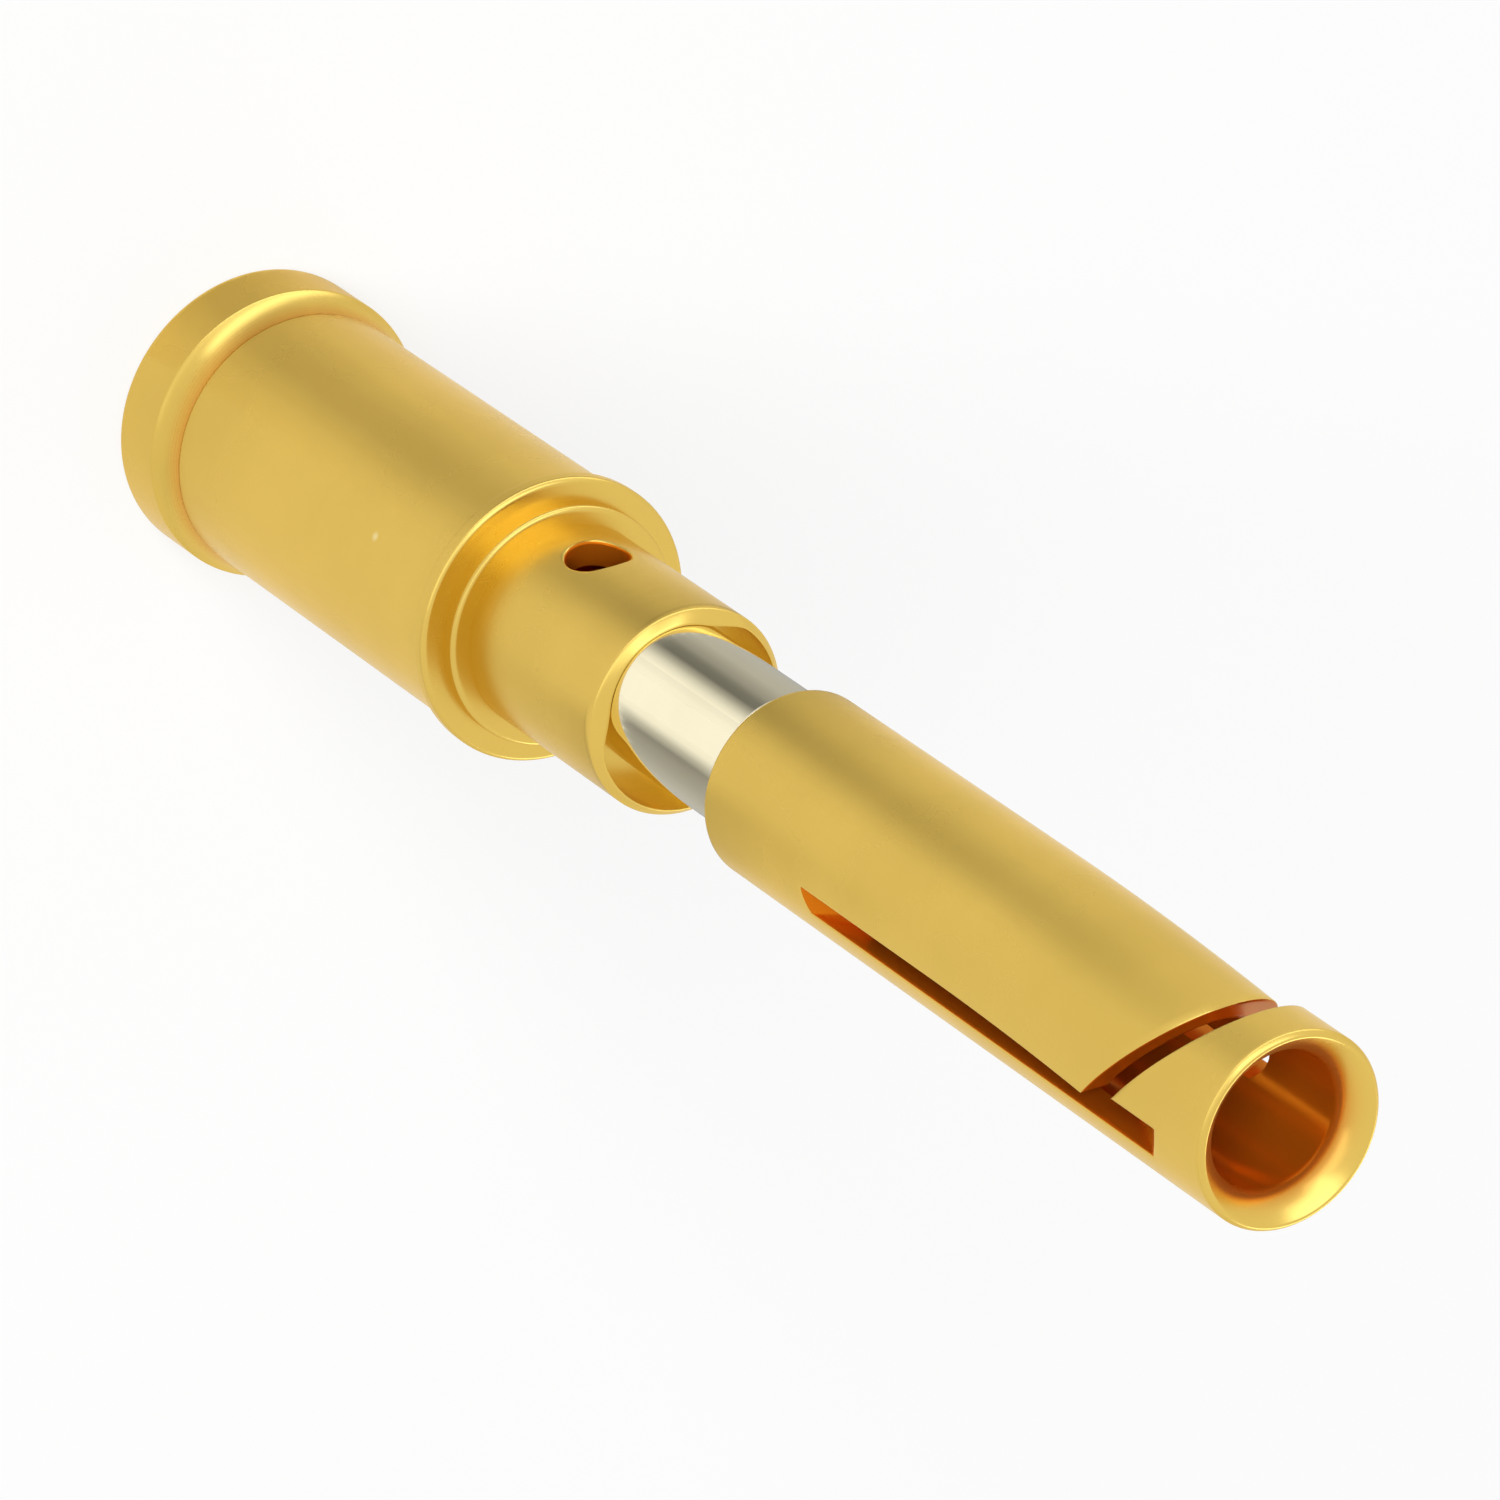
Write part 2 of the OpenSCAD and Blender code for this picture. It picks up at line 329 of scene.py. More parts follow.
def sleeve_wall(skin, r, angles, low, high, painted_shade):
    """One side of the sleeve's wall, outside or bore, with its slots and slit left open."""
    xs, ys = r * np.cos(np.radians(angles)), r * np.sin(np.radians(angles))
    angle = angles[TONGUE_LANES]
    slot_start = slot_rear(across(r, SLOT_DROP))
    skin.grid(strip(r, angle, low, slot_start, TO_SLOT), painted_shade=painted_shade)
    skin.grid(bent(strip(r, angle, slot_start, tongue_end(xs[TONGUE_LANES]), ALONG_TONGUE)), painted_shade=painted_shade)
    angle = angles[RING_LANES]
    ring = RING_FACE_Z + xs[RING_LANES] * SLIT_SLOPE
    split = ring + (slot_front(r) - RING_FACE_Z) / (high - RING_FACE_Z) * (high - ring)
    skin.grid(strip(r, angle, ring, split, ALONG_RING), painted_shade=painted_shade)
    skin.grid(strip(r, angle, split, high, TO_MOUTH), painted_shade=painted_shade)
    angle = angles[BACK_LANES]
    rear, front = slot_rear(across(r, SLOT_LOW)), slot_front(across(r, SLOT_LOW))
    skin.grid(strip(r, angle, low, rear, TO_SLOT), painted_shade=painted_shade)
    skin.grid(strip(r, angle, rear, front, ALONG_BACK), painted_shade=painted_shade)
    skin.grid(strip(r, angle, front, high, TO_MOUTH), painted_shade=painted_shade)
    for lane in REAR_SLOT_LANES:
        skin.grid(strip(r, angles[lane], low, slot_rear(ys[lane]), TO_SLOT), painted_shade=painted_shade)
    for lane in FRONT_SLOT_LANES:
        skin.grid(strip(r, angles[lane], slot_front(ys[lane]), high, TO_MOUTH), painted_shade=painted_shade)


def wall_points(lane):
    """Points through the sleeve's wall along some lanes, from the outside to the bore, as x and y."""
    t = THROUGH_WALL[:, None, None]
    outer = polar(SLEEVE_R, AROUND[lane], 0)[None, :, :2]
    inner = polar(SOCKET_R, AROUND_BORE[lane], 0)[None, :, :2]
    points = outer * (1 - t) + inner * t
    return points[..., 0], points[..., 1]


def slot_ends(skin):
    """The curved floors that the saw leaves at both ends of the slots."""
    for slot_lanes, end in ((REAR_SLOT_LANES, slot_rear), (FRONT_SLOT_LANES, slot_front)):
        for lane in slot_lanes:
            x, y = wall_points(lane)
            skin.grid(np.stack([x, y, end(y)], axis=-1), painted_shade=BORE_SHADE)


def slot_walls(skin, side):
    """The flat walls of one slot: on the tongue, on the ring and on the back."""
    t = THROUGH_WALL[:, None]

    def wall(x, low, high, shares):
        y = across(SLEEVE_R, x) * (1 - t) + across(SOCKET_R, x) * t
        z = low(y) + shares[None, :] * (high(y) - low(y))
        return np.stack(np.broadcast_arrays(x, side * y, z), axis=-1)

    tip = tongue_end(-SLOT_DROP)
    skin.grid(bent(wall(-SLOT_DROP, slot_rear, lambda y: tip + 0 * y, ALONG_TONGUE)), painted_shade=BORE_SHADE)
    skin.grid(wall(0.0, lambda y: RING_FACE_Z + 0 * y, slot_front, ALONG_RING), painted_shade=BORE_SHADE)
    skin.grid(wall(SLOT_LOW, slot_rear, slot_front, ALONG_BACK), painted_shade=BORE_SHADE)


def slit_faces(skin):
    """End of the tongue and the ring's face across the slit from it."""
    x, y = wall_points(TONGUE_LANES)
    skin.grid(bent(np.stack([x, y, tongue_end(x)], axis=-1)), painted_shade=BORE_SHADE)
    x, y = wall_points(RING_LANES)
    skin.grid(np.stack([x, y, RING_FACE_Z + x * SLIT_SLOPE], axis=-1), painted_shade=BORE_SHADE)


# The inspection hole sits in a window of the neck's and the wire bore's grids, some lanes to each side of
# the tongue's middle and as many rows up and down
WINDOW_LANES, WINDOW_H = 10, 0.62
WINDOW_ROWS = np.linspace(HOLE_Z - WINDOW_H, HOLE_Z + WINDOW_H, 2 * WINDOW_LANES + 1)
WINDOW_ANGLES = HALF_ANGLES[HALF_STEPS // 2 - WINDOW_LANES:HALF_STEPS // 2 + WINDOW_LANES + 1]


def window_border():
    """Angles and heights round the window's border, and the direction of each point from the hole's axis."""
    side = np.full(2 * WINDOW_LANES, 1.0)
    angle = np.concatenate([WINDOW_ANGLES, side * WINDOW_ANGLES[-1], WINDOW_ANGLES[::-1][1:],
                            side * WINDOW_ANGLES[0]])
    z = np.concatenate([[WINDOW_ROWS[0]], side * WINDOW_ROWS[0], WINDOW_ROWS[1:], side * WINDOW_ROWS[-1],
                        WINDOW_ROWS[::-1][1:]])
    return angle, z, np.arctan2((z - HOLE_Z) / WINDOW_H, angle / WINDOW_ANGLES[-1])


def inspection_hole(skin):
    """The rest of the two windows round the hole, and the hole's wall between them."""
    angle, z, turn = window_border()
    hole_y, hole_z = HOLE_R * np.cos(turn), HOLE_Z + HOLE_R * np.sin(turn)
    for r, ease, painted_shade in ((NECK_R, HOLE_EASE, 0), (WIRE_R, 0, BORE_SHADE)):
        t = between(length=0.3, steps=5, ease_high=ease)[:, None]
        edge = np.degrees(np.arcsin(hole_y / r))
        skin.grid(polar(r, angle * (1 - t) + edge * t, z * (1 - t) + hole_z * t), painted_shade=painted_shade)
    t = between(length=NECK_R - WIRE_R, steps=6, ease_low=HOLE_EASE)[:, None]
    x = across(NECK_R, hole_y) * (1 - t) + across(WIRE_R, hole_y) * t
    skin.grid(np.stack(np.broadcast_arrays(x, hole_y, hole_z), axis=-1), painted_shade=BORE_SHADE)


def bend(start, pull, end, steps):
    """Corners along a smooth bend between two points (r, z), drawn towards a third."""
    start, pull, end = np.array(start), np.array(pull), np.array(end)
    shares = np.linspace(0, 1, steps + 1)
    return [(*(start * (1 - t) ** 2 + pull * 2 * t * (1 - t) + end * t ** 2), 0) for t in shares]


def shoulder_cove():
    """The collar's shoulder, slightly hollow, from its ridge to the barrel."""
    pull = BARREL_R + COVE_R * (COLLAR_R - BARREL_R), COLLAR_L + COVE_Z * SHOULDER_L
    return bend((COLLAR_R, COLLAR_L), pull, (BARREL_R - ROOT_LINE, ROOT_Z), COVE_STEPS)[1:]


def throat():
    """The smooth way from the lead-in cone into the bore."""
    throat_z = MOUTH_Z - LEAD_IN
    start = SOCKET_R + THROAT_CONE * (SLEEVE_R - LIP - SOCKET_R), MOUTH_Z - LEAD_IN * (1 - THROAT_CONE)
    return bend(start, (SOCKET_R, throat_z), (SOCKET_R, throat_z - THROAT_L), THROAT_STEPS)


def rim_roll(angle):
    """How far the neck's rim is rolled in towards the band, by the angle round from the tongue."""
    off = (angle - BAND_TURN + 180) % 360 - 180
    aside = BAND_LEAN * np.sin(np.radians(off))
    band = BAND_LEAN * np.cos(np.radians(off)) + across(BAND_R, aside)
    near = np.clip((ROLL_ENDS - np.abs(off)) / (ROLL_ENDS - ROLL_FULL), 0, 1)
    return near ** 2 * (3 - 2 * near) * (RECESS_R - band - ROLL_PLAY)


def rear_profile():
    """Points (r, z) from the end of the wire bore, round the wire end and up to the sleeve's slots."""
    corners = [(0, WIRE_POINT, 0), (WIRE_R, WIRE_END, 0)]
    corners += [(WIRE_R, z, 0) for z in WINDOW_ROWS[::-1]]
    corners += [
        (WIRE_R, WIRE_FUNNEL, FUNNEL_ROUND), (WIRE_R + WIRE_FUNNEL, 0, WIRE_END_ROUND),
        (COLLAR_R - END_CHAMFER, 0, COLLAR_END_ROUND), (COLLAR_R, END_CHAMFER, COLLAR_END_ROUND),
        (COLLAR_R, COLLAR_L, RIDGE_ROUND), *shoulder_cove(),
        (BARREL_R, ROOT_END, 0), (BARREL_R, FLANGE_BACK, 0),
        (FLANGE_R - FLANGE_CHAMFER, FLANGE_BACK, FLANGE_BACK_ROUND),
        (FLANGE_R, FLANGE_BACK + FLANGE_CHAMFER, FLANGE_ROUND),
        (FLANGE_R, FLANGE_FACE - FLANGE_CHAMFER, FLANGE_ROUND),
        (FLANGE_R - FLANGE_CHAMFER, FLANGE_FACE, FLANGE_ROUND),
        (HUB_R, FLANGE_FACE, 0), (HUB_R, HUB_FACE, HUB_ROUND), (NECK_R, HUB_FACE, 0),
    ]
    corners += [(NECK_R, z, 0) for z in WINDOW_ROWS]
    corners += [
        (NECK_R, NECK_END - ROLL_H, 0), (NECK_R, NECK_END - RIM_H, RIM_LOW_ROUND),
        (NECK_R - RIM_W, NECK_END, RIM_TOP_ROUND), (RECESS_R, NECK_END, RIM_IN_ROUND),
        *[(RECESS_R, NECK_END - ROLL_H * share, 0) for share in ROLL_LINES],
        (RECESS_R, RECESS_Z, 0), (CORE_R, RECESS_Z, 0), (CORE_R, SLEEVE_Z, 0),
        (SLEEVE_R - SLEEVE_CHAMFER, SLEEVE_Z, 0), (SLEEVE_R, SLEEVE_Z + SLEEVE_CHAMFER, 0),
        (SLEEVE_R, OUT_LOW, 0),
    ]
    return held(eased_profile(corners))


def turned_rear(skin):
    """Everything turned behind the slots, with the hole's windows left open and the neck's rim rolled in."""
    r, z = rear_profile().T
    middle_r, middle_z = (r[1:] + r[:-1]) / 2, (z[1:] + z[:-1]) / 2
    middle_angle = (AROUND[1:] + AROUND[:-1]) / 2
    upright = np.abs(r[1:] - r[:-1]) < TINY
    on_wall = (np.abs(middle_r - NECK_R) < TINY) | (np.abs(middle_r - WIRE_R) < TINY)
    window_rows = upright & on_wall & (np.abs(middle_z - HOLE_Z) < WINDOW_H)
    in_window = window_rows[:, None] & (np.abs(middle_angle) < WINDOW_ANGLES[-1])[None, :]
    in_bore = (middle_r < WIRE_R + HOLD) & (middle_z < RECESS_Z)
    root_from = COLLAR_L + ROOT_FROM * SHOULDER_L
    to_root = np.clip((middle_z - root_from) / (ROOT_Z - root_from), 0, 1)
    on_shoulder = (middle_r > WIRE_R + WIRE_FUNNEL) & (middle_z < ROOT_END)
    # Painted shade: full in the wire bore, and rising along the shoulder towards its root
    painted_shade = in_bore * BORE_SHADE + on_shoulder * to_root * ROOT_SHADE
    rolled = np.clip((z - NECK_END + ROLL_H) / ROLL_H, 0, 1) ** 2 * (r > RECESS_R - TINY)
    rolled *= ROLL_OUT + (1 - ROLL_OUT) * np.clip((NECK_R - r) / (NECK_R - RECESS_R), 0, 1)
    radius = r[:, None] - rolled[:, None] * rim_roll(AROUND)[None, :]
    skin.grid(polar(radius, AROUND[None, :], z[:, None]), keep=~in_window, painted_shade=painted_shade)


def turned_mouth(skin):
    """The ring from the slots round the lip and the lead-in cone into the bore."""
    rows = held(eased_profile([
        (SLEEVE_R, OUT_HIGH, 0), (SLEEVE_R, MOUTH_Z - LIP, LIP_OUT_ROUND),
        (SLEEVE_R - LIP, MOUTH_Z, LIP_IN_ROUND), *throat(), (SOCKET_R, BORE_HIGH, 0),
    ], arc_step=10))
    r, z = rows[:, :1], rows[:, 1:]
    share = np.clip((SLEEVE_R - r) / (SLEEVE_R - SOCKET_R), 0, 1)
    angle = AROUND[None, :] * (1 - share) + AROUND_BORE[None, :] * share
    middle_r = (rows[1:, 0] + rows[:-1, 0]) / 2
    # Painted shade on the throat, strongest at the bore and fading outwards
    throat_shade = np.clip(1 - (middle_r - SOCKET_R) / THROAT_FADE, 0, 1) ** THROAT_FALL
    skin.grid(polar(r, angle, z), painted_shade=throat_shade * BORE_SHADE)


def socket_floor(skin):
    """The end of the socket's bore."""
    rows = np.array([(SOCKET_R, BORE_LOW), (SOCKET_R, SOCKET_END), (SOCKET_R / 2, SOCKET_END),
                     (0, SOCKET_END)])
    skin.grid(polar(rows[:, :1], AROUND_BORE[None, :], rows[:, 1:]), painted_shade=BORE_SHADE)


def make_contact_body():
    """The turned, drilled and sawn contact, in one closed skin."""
    skin = Skin()
    turned_rear(skin)
    inspection_hole(skin)
    sleeve_wall(skin, SLEEVE_R, AROUND, OUT_LOW, OUT_HIGH, painted_shade=0)
    sleeve_wall(skin, SOCKET_R, AROUND_BORE, BORE_LOW, BORE_HIGH, painted_shade=BORE_SHADE)
    slot_ends(skin)
    for side in (1, -1):
        slot_walls(skin, side)
    slit_faces(skin)
    turned_mouth(skin)
    socket_floor(skin)
    middle_of_wall = (SLEEVE_R + SOCKET_R) / 2

    def on_cuts(x, y, z):
        return OUT_LOW < z < OUT_HIGH and x * x + y * y > middle_of_wall ** 2

    def on_hole(x, y, z):
        return abs(z - HOLE_Z) < WINDOW_H and x > 0 and x * x + y * y > (NECK_R - HOLE_EASE) ** 2

    eases = (CUT_EASE, CUT_TURN, on_cuts), (HOLE_EASE, HOLE_TURN, on_hole)
    return skin.object("contact_body_turned", eases=eases)


def make_steel_band():
    """A ring rolled from strip, open on the side away from the tongue, which leans on the neck's rim."""
    low, high = RECESS_Z + BAND_PLAY, SLEEVE_Z - BAND_GAP
    middle_z = (low + high) / 2
    section = held(eased_profile([
        (BAND_R, middle_z, 0), (BAND_R, high, BAND_ROUND), (BAND_INNER_R, high, BAND_ROUND),
        (BAND_INNER_R, low, BAND_ROUND), (BAND_R, low, BAND_ROUND), (BAND_R, middle_z, 0),
    ]))
    share = np.linspace(-1, 1, BAND_STEPS + 1)[None, :]
    r, z = section[:, :1], section[:, 1:]
    last = 180 - np.degrees(np.arcsin(BAND_SEAM / 2 / r))
    skin = Skin()
    skin.grid(polar(r, share * last, z))
    for side in (-1, 1):
        rim = polar(r, side * last, z)[:, 0]
        centre = np.array([rim[:, 0].mean(), rim[0, 1], middle_z])
        skin.grid(np.stack([rim, rim * 0 + centre]))
    band = skin.object("steel_band_rolled")
    band.location = Vector((*BAND_MIDDLE, 0)) * MM
    return band


# Turning marks: the number of broad rings as a share of the fine lines, the detail of each noise, and the
# specks, which are painted glints, with the bright core and edge as shares of a cell, and the least random
# number that gives one
BROAD_SHARE = 0.07
FINE_DETAIL, BROAD_DETAIL, CLOUD_DETAIL = 1.0, 2.0, 4.0
SPECK_CORE, SPECK_EDGE, SPECK_PICK = 0.04, 0.09, 0.93
# Shares of clouds and rings in a metal's tone, and the range of the tone that sets its colour and roughness
CLOUD_SHARE, RING_SHARE = 0.7, 0.3
COLOUR_LOW, COLOUR_HIGH = 0.35, 0.65
ROUGH_LOW, ROUGH_HIGH = 0.3, 0.7
# Colour of the specks: painted glints
PAINTED_GLINT_COLOUR = (0.95, 0.86, 0.5)
# The gold inside the part: its colour, which is painted shade and gold-to-gold reflection, how metallic it
# is, and its share of the outside's roughness
PAINTED_SHADE_COLOUR, INSIDE_METALLIC, INSIDE_ROUGH = (0.64, 0.165, 0.006), 0.6, 0.7
# Tint of the gold's reflections at a glancing angle
GOLD_GLANCE = (1, 0.91, 0.7, 1)


def place(tree, kind, **inputs):
    """Adds a node to a tree and sets its inputs, by name or as i0, i1...: a value, or a socket to link."""
    node = tree.nodes.new(kind)
    for name, value in inputs.items():
        by_number = name[0] == "i" and name[1:].isdigit()
        socket = node.inputs[int(name[1:]) if by_number else name.replace("_", " ")]
        if isinstance(value, bpy.types.NodeSocket):
            tree.links.new(value, socket)
        else:
            socket.default_value = value
    return node


def maths(tree, operation, one, two=0.0):
    node = place(tree, "ShaderNodeMath", i0=one, i1=two)
    node.operation = operation
    return node.outputs[0]


def remap(tree, value, low, high, to_low, to_high):
    node = place(tree, "ShaderNodeMapRange", Value=value, From_Min=low, From_Max=high,
                 To_Min=to_low, To_Max=to_high)
    return node.outputs[0]


def line_noise(tree, along, detail):
    """Noise that changes in one direction only."""
    node = tree.nodes.new("ShaderNodeTexNoise")
    node.noise_dimensions = "1D"
    tree.links.new(along, node.inputs["W"])
    node.inputs["Scale"].default_value = 1.0
    node.inputs["Detail"].default_value = detail
    return node.outputs["Fac"]


def blend_colours(tree, share, one, two):
    node = tree.nodes.new("ShaderNodeMix")
    node.data_type = "RGBA"
    colours = [s for s in node.inputs if s.type == "RGBA"]
    tree.links.new(share, node.inputs[0])
    for socket, value in zip(colours, (one, two)):
        if isinstance(value, bpy.types.NodeSocket):
            tree.links.new(value, socket)
        else:
            socket.default_value = (*value, 1)
    return [s for s in node.outputs if s.type == "RGBA"][0]


def turning_marks_group():
    """Rings that a lathe tool or polishing belt leaves, cloudy tone and rare pale specks that are painted
    glints, for turned metal.
    """
    tree = bpy.data.node_groups.new("turning_marks", "ShaderNodeTree")
    for name, value in (("Lines per metre", 20000.0), ("Cloud size", 400.0), ("Speck size", 900.0)):
        socket = tree.interface.new_socket(name, in_out="INPUT", socket_type="NodeSocketFloat")
        socket.default_value = value
    for name in ("Height", "Tone", "Cloud", "Specks"):
        tree.interface.new_socket(name, in_out="OUTPUT", socket_type="NodeSocketFloat")
    given = tree.nodes.new("NodeGroupInput")
    where = tree.nodes.new("ShaderNodeTexCoord").outputs["Object"]
    split = place(tree, "ShaderNodeSeparateXYZ", Vector=where)
    flat = place(tree, "ShaderNodeCombineXYZ", X=split.outputs["X"], Y=split.outputs["Y"])
    length = place(tree, "ShaderNodeVectorMath", i0=flat.outputs[0])
    length.operation = "LENGTH"
    along = maths(tree, "ADD", split.outputs["Z"], length.outputs["Value"])
    lines = maths(tree, "MULTIPLY", along, given.outputs["Lines per metre"])
    fine = line_noise(tree, lines, FINE_DETAIL)
    broad = line_noise(tree, maths(tree, "MULTIPLY", lines, BROAD_SHARE), BROAD_DETAIL)
    cloud = place(tree, "ShaderNodeTexNoise", Vector=where, Scale=given.outputs["Cloud size"],
                  Detail=CLOUD_DETAIL)
    cells = place(tree, "ShaderNodeTexVoronoi", Vector=where, Scale=given.outputs["Speck size"])
    pick = place(tree, "ShaderNodeSeparateColor", Color=cells.outputs["Color"])
    near = remap(tree, cells.outputs["Distance"], SPECK_CORE, SPECK_EDGE, 1, 0)
    specks = maths(tree, "MULTIPLY", near, maths(tree, "GREATER_THAN", pick.outputs[0], SPECK_PICK))
    result = tree.nodes.new("NodeGroupOutput")
    for name, socket in (("Height", fine), ("Tone", broad), ("Cloud", cloud.outputs["Fac"]),
                         ("Specks", specks)):
        tree.links.new(socket, result.inputs[name])
    return tree


MARKS = turning_marks_group()


def metal(name, bright, deep, rough, rough_swing, lines, bump_depth, cloud_size, painted_glints):
    """A turned metal. The marks mix its two colours, and glints is the strength of its specks, which are
    painted glints.
    """
    material = bpy.data.materials.new(name)
    material.use_nodes = True
    tree = material.node_tree
    shader = tree.nodes["Principled BSDF"]
    shader.inputs["Metallic"].default_value = 1.0
    marks = tree.nodes.new("ShaderNodeGroup")
    marks.node_tree = MARKS
    marks.inputs["Lines per metre"].default_value = lines
    marks.inputs["Cloud size"].default_value = cloud_size
    tone = maths(tree, "ADD", maths(tree, "MULTIPLY", marks.outputs["Cloud"], CLOUD_SHARE),
                 maths(tree, "MULTIPLY", marks.outputs["Tone"], RING_SHARE))
    colour = blend_colours(tree, remap(tree, tone, COLOUR_LOW, COLOUR_HIGH, 0, 1), bright, deep)
    painted_glint = maths(tree, "MULTIPLY", marks.outputs["Specks"], painted_glints)
    colour = blend_colours(tree, painted_glint, colour, PAINTED_GLINT_COLOUR)
    roughness = remap(tree, tone, ROUGH_LOW, ROUGH_HIGH, rough - rough_swing, rough + rough_swing)
    bump = place(tree, "ShaderNodeBump", Height=marks.outputs["Height"], Strength=1.0, Distance=bump_depth)
    tree.links.new(roughness, shader.inputs["Roughness"])
    tree.links.new(bump.outputs["Normal"], shader.inputs["Normal"])
    tree.links.new(colour, shader.inputs["Base Color"])
    return material, tree, shader, colour, roughness


def satin_gold():
    """Gold plating, painted deeper and redder as shade in the bores and cuts, at the throat and at the
    shoulder's root.
    """
    material, tree, shader, colour, roughness = metal(
        "satin_gold_plating", bright=(0.765, 0.52, 0.113), deep=(0.695, 0.475, 0.10), rough=0.27,
        rough_swing=0.03, lines=5000, bump_depth=5e-7, cloud_size=350, painted_glints=0.5)
    # The inside attribute carries painted shade: there the gold turns deeper and redder, less metallic and
    # smoother
    own = tree.nodes.new("ShaderNodeAttribute")
    own.attribute_name = "painted_shade"
    painted_shade = own.outputs["Fac"]
    colour = blend_colours(tree, painted_shade, colour, PAINTED_SHADE_COLOUR)
    roughness = maths(tree, "MULTIPLY", roughness, remap(tree, painted_shade, 0, 1, 1, INSIDE_ROUGH))
    tree.links.new(colour, shader.inputs["Base Color"])
    tree.links.new(remap(tree, painted_shade, 0, 1, 1, INSIDE_METALLIC), shader.inputs["Metallic"])
    tree.links.new(roughness, shader.inputs["Roughness"])
    shader.inputs["Specular IOR Level"].default_value = 0.0
    shader.inputs["Specular Tint"].default_value = GOLD_GLANCE
    return material


def polished_steel():
    """Bright steel, a little warm."""
    return metal("polished_steel", bright=(0.99, 0.92, 0.665), deep=(0.95, 0.88, 0.63), rough=0.06,
                 rough_swing=0.02, lines=14000, bump_depth=5e-8, cloud_size=500, painted_glints=0.0)[0]


def dress(piece, material, node):
    """Gives a piece its material, and lets it stand for a node of the part."""
    piece.data.materials.append(material)
    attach(piece, "root")
    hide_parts(node)


dress(make_contact_body(), satin_gold(), "contact_body")
dress(make_steel_band(), polished_steel(), "steel_band")


# The floor: its grey, half its width in metres, and the share of plain white in what is seen of it
FLOOR_WHITE, FLOOR_HALF, FLOOR_GLOW = 0.9, 1.5, 0.7
# Strength with which the white studio lights the contact
AMBIENT = 0.2
# Colour of the panels that show in the metal, a little cooler than the room, and of the lamps that don't
DAYLIGHT, WHITE = (0.6, 0.72, 1), (1, 1, 1)
# Azimuths and shades of the grey fans, painted shade that shows only in the metal's reflections: the streak
# on the gold, and the dark stripes on the band's two sides
STREAK = ((44, 1), (34, 0.95), (23, 0.81), (10, 0.68), (-3, 0.69), (-16, 0.78), (-32, 0.9), (-60, 0.97),
          (-80, 1))
BAND_RIGHT = ((26, 1), (16, 0.79), (6, 0.45), (-4, 0.17), (-15, 0.19), (-27, 0.32), (-40, 0.4), (-53, 0.48),
              (-70, 0.49), (-90, 0.5), (-110, 0.52), (-125, 0.55))
BAND_LEFT = ((84, 1), (92, 0.95), (103, 0.55), (114, 0.27), (126, 0.34), (140, 0.39), (158, 0.46),
             (176, 0.52), (205, 0.55), (235, 0.55))
# Lamps: name, azimuth, elevation, distance and size in metres, power, and whether it shows in the metal
LAMPS = (
    ("main_lamp", 50, 52, 0.5, (0.3, 0.3), 2.1, False),
    ("top_lamp", 226, 80, 0.5, (0.35, 0.35), 0.75, False),
    ("key_panel", -7, 50, 0.5, (0.46, 0.24), 0.68, True),
    ("front_panel", 42, 35, 0.5, (0.8, 0.12), 0.36, True),
    ("low_panel", -14, 7.4, 0.2, (0.42, 0.05), 0.145, True),
    ("back_panel", 214, 16, 0.5, (0.4, 0.2), 0.75, True),
)
# The camera: lens and sensor in millimetres, nearest distance in metres, its right and up, and its place in
# millimetres
LENS, SENSOR, NEAREST = 240.0, 36.0, 0.01
CAMERA_RIGHT, CAMERA_UP = (-0.028719, -0.850863, 0.524602), (0.896022, -0.254546, -0.363801)
CAMERA_PLACE = (63.7752, 66.0412, 125.2851)


def paper(name, shade):
    """Matt paper: shade is a grey, or None for a sheet that carries its own shades."""
    material = bpy.data.materials.new(name)
    material.use_nodes = True
    tree = material.node_tree
    shader = tree.nodes["Principled BSDF"]
    shader.inputs["Roughness"].default_value = 1.0
    shader.inputs["Specular IOR Level"].default_value = 0.0
    if shade is None:
        own = tree.nodes.new("ShaderNodeAttribute")
        own.attribute_name = "shade"
        tree.links.new(own.outputs["Color"], shader.inputs["Base Color"])
    else:
        shader.inputs["Base Color"].default_value = (shade, shade, shade, 1)
    return material


def make_sheet(name, points, faces, material):
    """A flat sheet that belongs to the stage."""
    mesh = bpy.data.meshes.new(name)
    mesh.from_pydata(points, [], faces)
    mesh.materials.append(material)
    sheet = bpy.data.objects.new(name, mesh)
    bpy.context.scene.collection.objects.link(sheet)
    return sheet


def seen_directly(tree):
    """1 for the camera's rays and those that come by way of metal or glass."""
    path = tree.nodes.new("ShaderNodeLightPath")
    seen = maths(tree, "MAXIMUM", path.outputs["Is Camera Ray"], path.outputs["Is Glossy Ray"])
    return maths(tree, "MAXIMUM", seen, path.outputs["Is Transmission Ray"])


def make_floor():
    """White paper. What is seen of it is mostly plain white, so that shadows on it stay faint."""
    material = paper("white_paper", FLOOR_WHITE)
    tree = material.node_tree
    white = place(tree, "ShaderNodeEmission", Color=(1, 1, 1, 1), Strength=1.0)
    share = maths(tree, "MULTIPLY", seen_directly(tree), FLOOR_GLOW)
    lit = tree.nodes["Principled BSDF"].outputs[0]
    mix = place(tree, "ShaderNodeMixShader", i0=share, i1=lit, i2=white.outputs[0])
    tree.links.new(mix.outputs[0], tree.nodes["Material Output"].inputs["Surface"])
    corners = [(x * FLOOR_HALF, y * FLOOR_HALF, 0) for x, y in ((-1, -1), (1, -1), (1, 1), (-1, 1))]
    make_sheet("floor", corners, [(0, 1, 2, 3)], material)


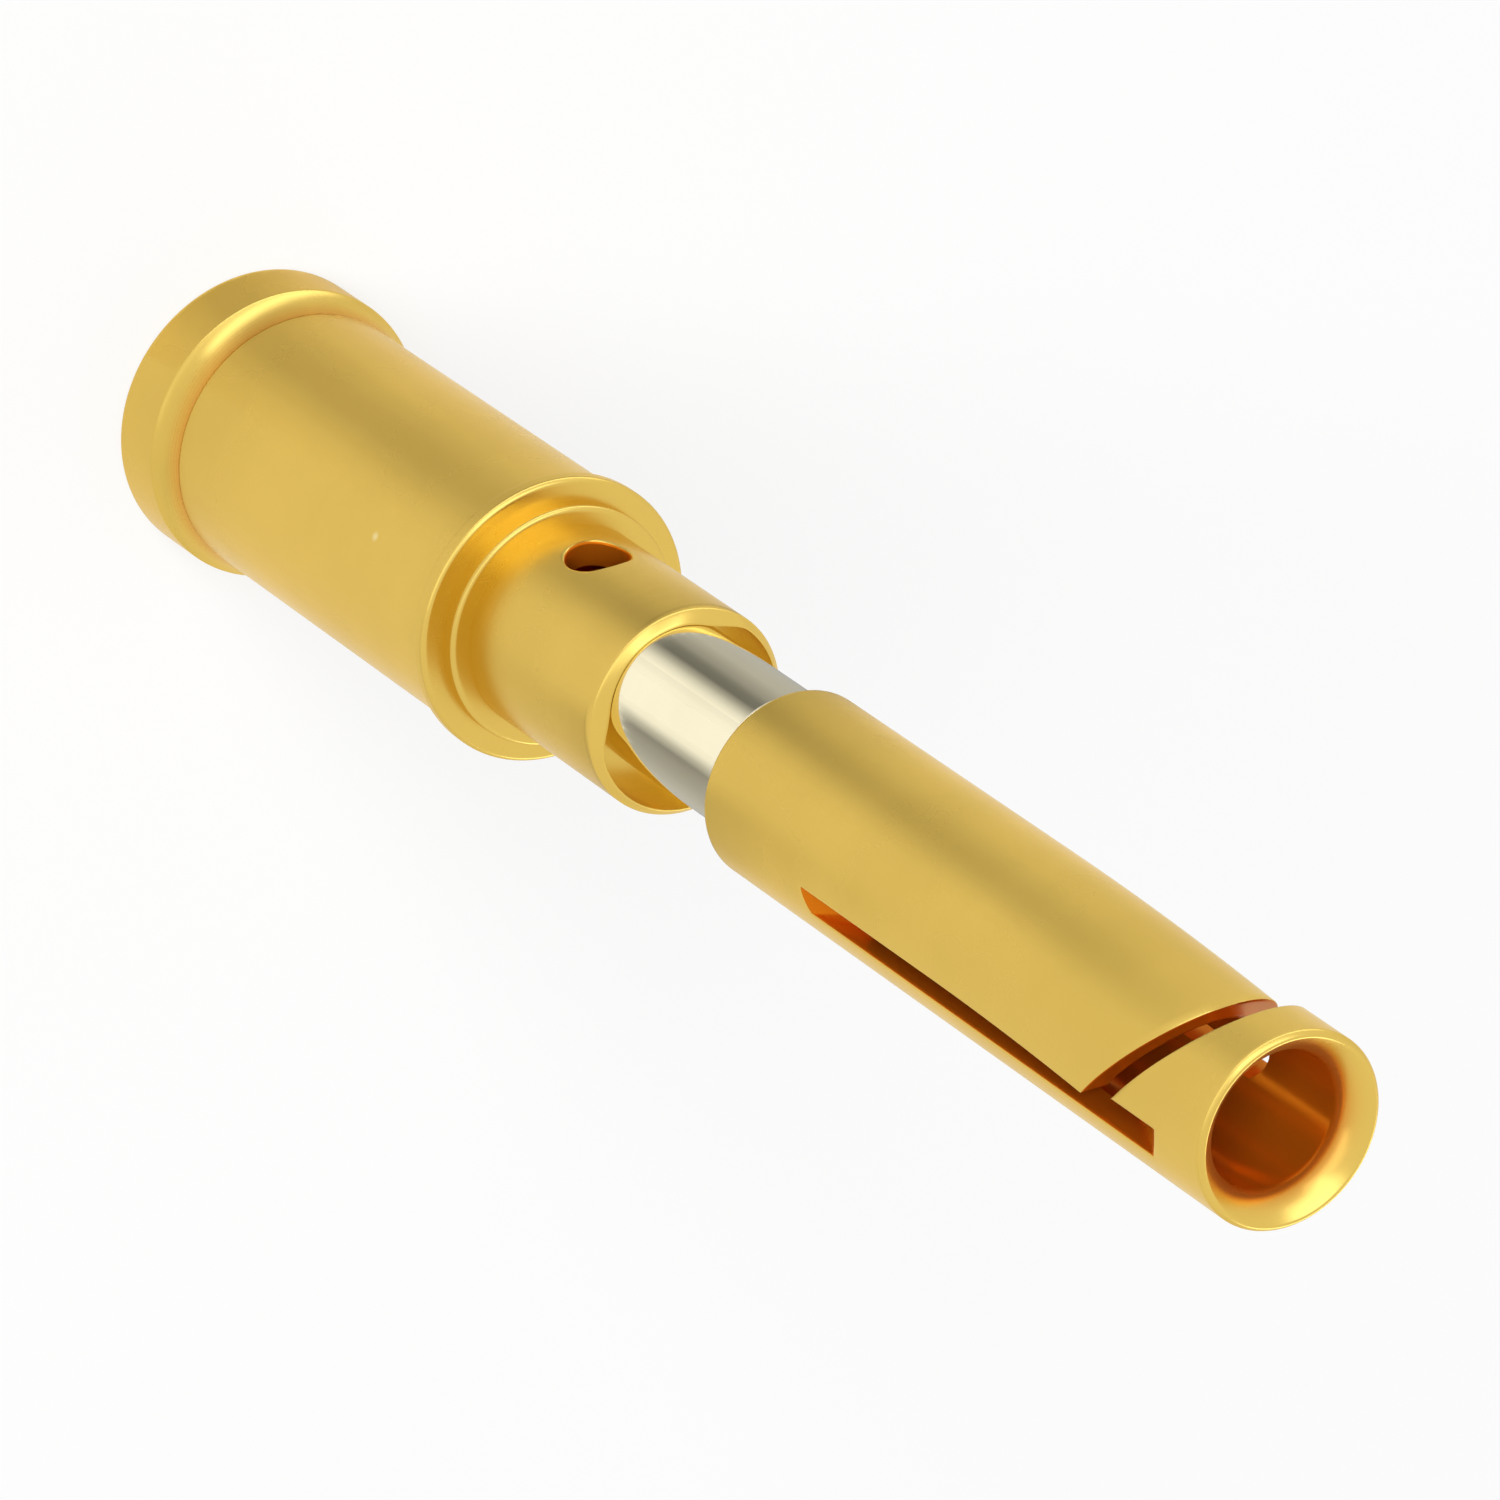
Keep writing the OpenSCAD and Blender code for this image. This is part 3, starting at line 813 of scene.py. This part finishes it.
def make_grey_card(name, stops, middle, near, far, near_turn, height):
    """A shaded fan on the floor, painted shade which only shows in reflections in the metal: stops are its
    azimuths and their shades.
    """
    points, faces, shades = [], [], []
    for i, (azimuth, shade) in enumerate(stops):
        for r, turn in ((near, radians(azimuth + near_turn)), (far, radians(azimuth))):
            points.append(Vector((middle[0] + r * cos(turn), middle[1] + r * sin(turn), height)) * MM)
            shades.append(shade * FLOOR_WHITE)
        if i:
            faces.append((2 * i - 2, 2 * i - 1, 2 * i + 1, 2 * i))
    card = make_sheet(name, points, faces, paper(name + "_paper", None))
    greys = card.data.attributes.new("shade", "FLOAT_COLOR", "POINT")
    for grey, shade in zip(greys.data, shades):
        grey.color = (shade, shade, shade, 1)
    card.visible_camera = False
    card.visible_diffuse = False
    card.visible_transmission = False
    card.visible_shadow = False


def make_world():
    """A white studio: the camera and mirrors see white, and it lights with the ambient strength."""
    world = bpy.data.worlds.new("studio")
    bpy.context.scene.world = world
    world.use_nodes = True
    tree = world.node_tree
    back = tree.nodes["Background"]
    back.inputs["Color"].default_value = (1, 1, 1, 1)
    tree.links.new(remap(tree, seen_directly(tree), 0, 1, AMBIENT, 1), back.inputs["Strength"])


def make_lamp(name, azimuth, elevation, distance, size, power, in_metal):
    """A soft lamp that faces the contact. A lamp either shows in the metal or lights what isn't metal."""
    lamp = bpy.data.lights.new(name, "AREA")
    lamp.shape = "RECTANGLE"
    lamp.size, lamp.size_y = size
    lamp.energy = power
    lamp.color = DAYLIGHT if in_metal else WHITE
    holder = bpy.data.objects.new(name, lamp)
    bpy.context.scene.collection.objects.link(holder)
    azimuth, elevation = radians(azimuth), radians(elevation)
    way = Vector((cos(azimuth) * cos(elevation), sin(azimuth) * cos(elevation), sin(elevation)))
    holder.location = way * distance
    holder.rotation_euler = way.to_track_quat("Z", "Y").to_euler()
    holder.visible_glossy = in_metal
    holder.visible_diffuse = not in_metal


def make_camera():
    """The photo's view: looking down on the standing contact, turned so that its mouth lies lower right."""
    lens = bpy.data.cameras.new("camera")
    lens.sensor_width = SENSOR
    lens.lens = LENS
    lens.clip_start = NEAREST
    camera = bpy.data.objects.new("camera", lens)
    bpy.context.scene.collection.objects.link(camera)
    right, up = Vector(CAMERA_RIGHT), Vector(CAMERA_UP)
    turn = Matrix((right, up, right.cross(up))).transposed().to_4x4()
    camera.matrix_world = Matrix.Translation(Vector(CAMERA_PLACE) * MM) @ turn
    bpy.context.scene.camera = camera


make_floor()
# Grey fans of painted shade, standing in for shadow on the floor, seen only in the metal's reflections
make_grey_card("streak_card", STREAK, middle=(0, 0), near=2.4, far=32, near_turn=8, height=0.02)
make_grey_card("band_card_right", BAND_RIGHT, middle=BAND_MIDDLE, near=11.5, far=14.5, near_turn=0,
               height=0.04)
make_grey_card("band_card_left", BAND_LEFT, middle=BAND_MIDDLE, near=11.7, far=14.3, near_turn=0,
               height=0.04)
make_world()
for lamp in LAMPS:
    make_lamp(*lamp)
make_camera()
bpy.context.scene.view_settings.view_transform = "Standard"
